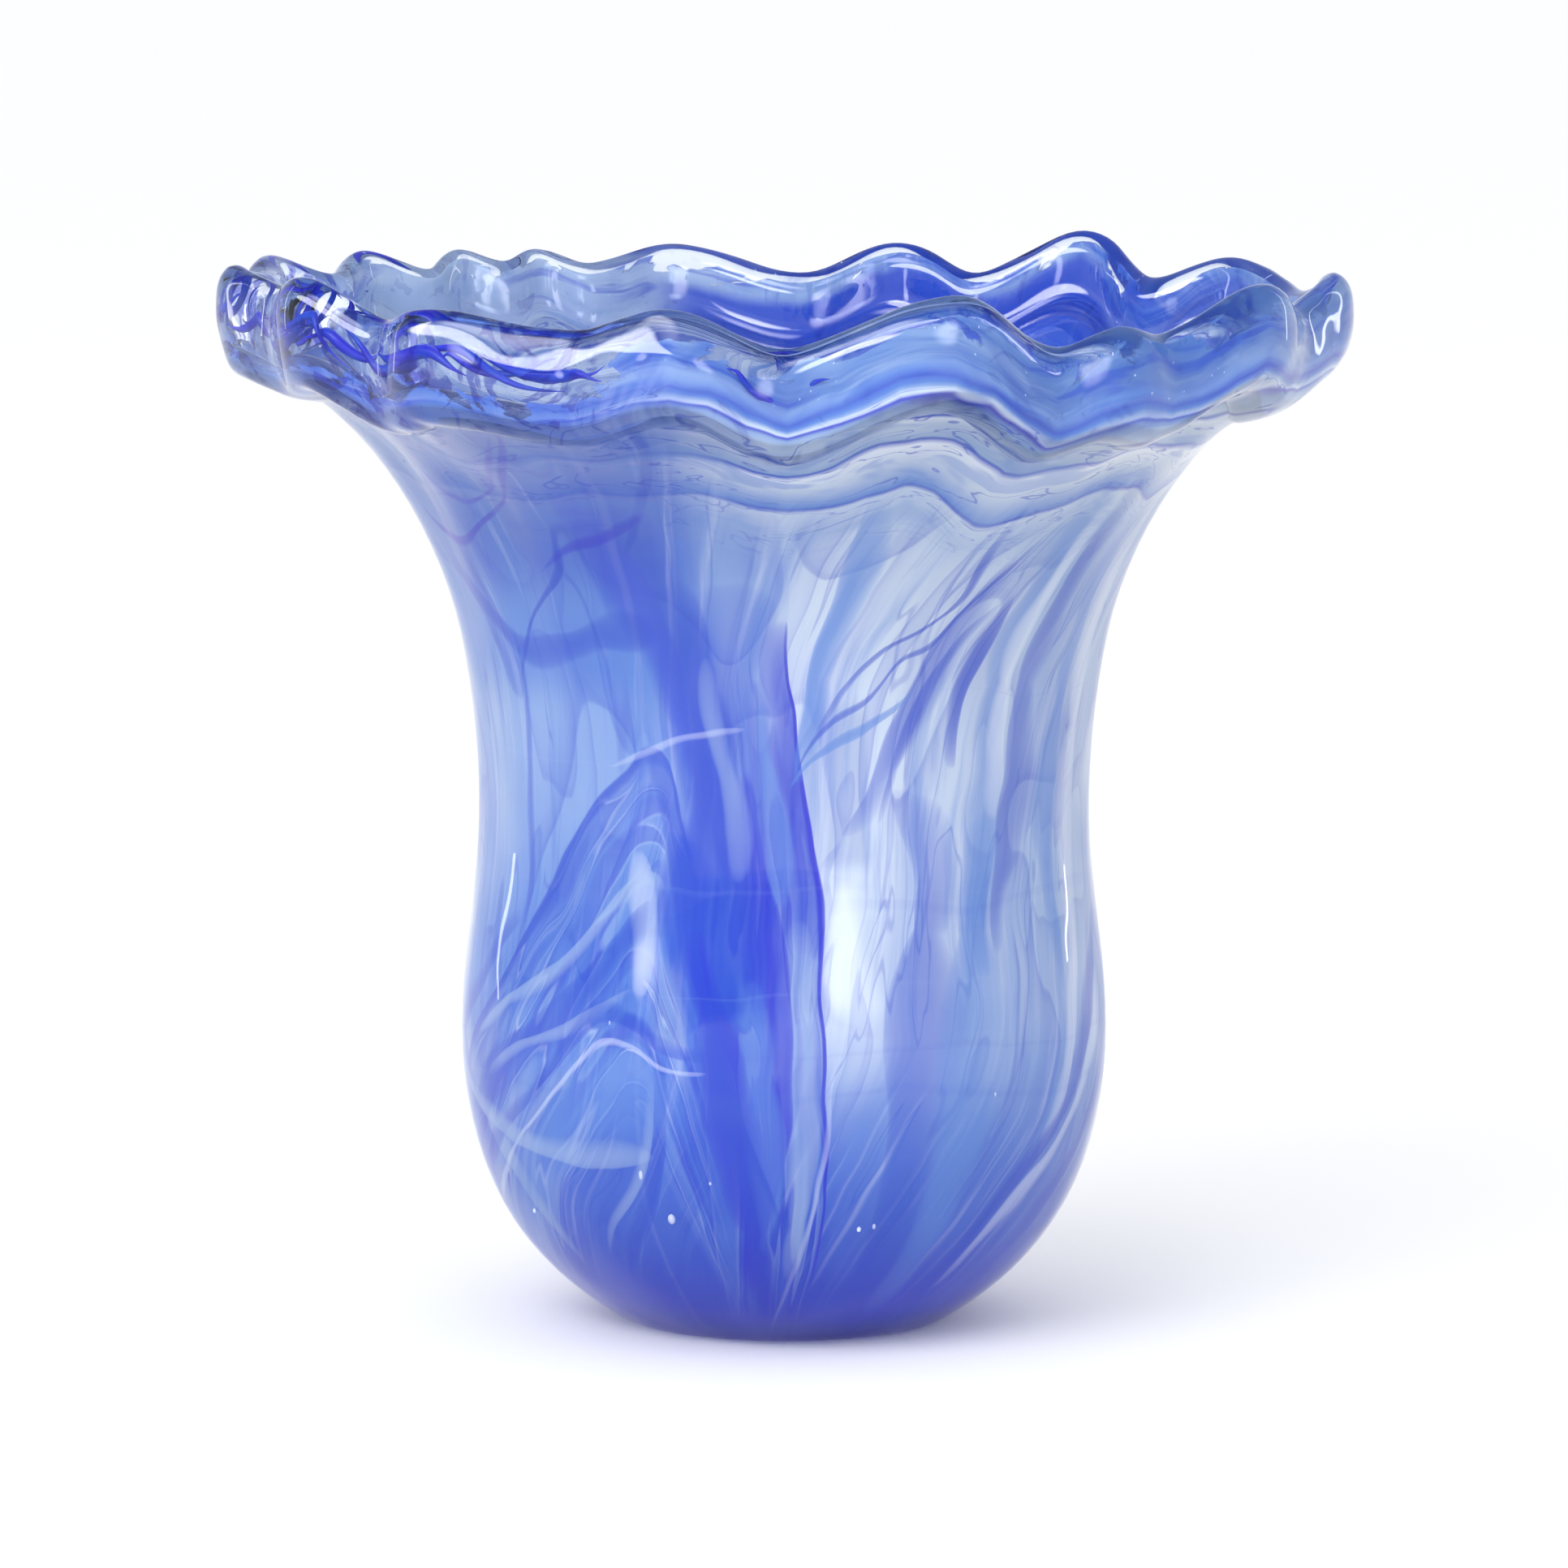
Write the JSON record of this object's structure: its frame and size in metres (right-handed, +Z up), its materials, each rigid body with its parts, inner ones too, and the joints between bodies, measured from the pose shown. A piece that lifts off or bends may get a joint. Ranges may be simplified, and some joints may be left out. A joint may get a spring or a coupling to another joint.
{
  "type": "ruffled art glass bowl",
  "caption": "Deep bell-shaped bowl in streaked opal glass cased in clear, with a wide ruffled flare and a thick crimped clear lip.",
  "frame": {"origin": "centre of the foot's resting face", "axes": "+Z up through the mouth, -Y towards the front, +X to the right seen from the front"},
  "size_m": [0.2572, 0.2483, 0.244],
  "materials": {
    "streaked_opal": "fire polished, milky, streaked with cobalt",
    "clear_glass": "clear, fire polished",
    "lip_glass": "clear with blue wisps, fire polished",
    "seal_glass": "clear, ground and polished"
  },
  "bodies": {
    "root": {"opal_bubble": "streaked_opal", "clear_casing": "clear_glass", "lip_band": "lip_glass", "punty_seal": "seal_glass"}
  },
  "joints": []
}
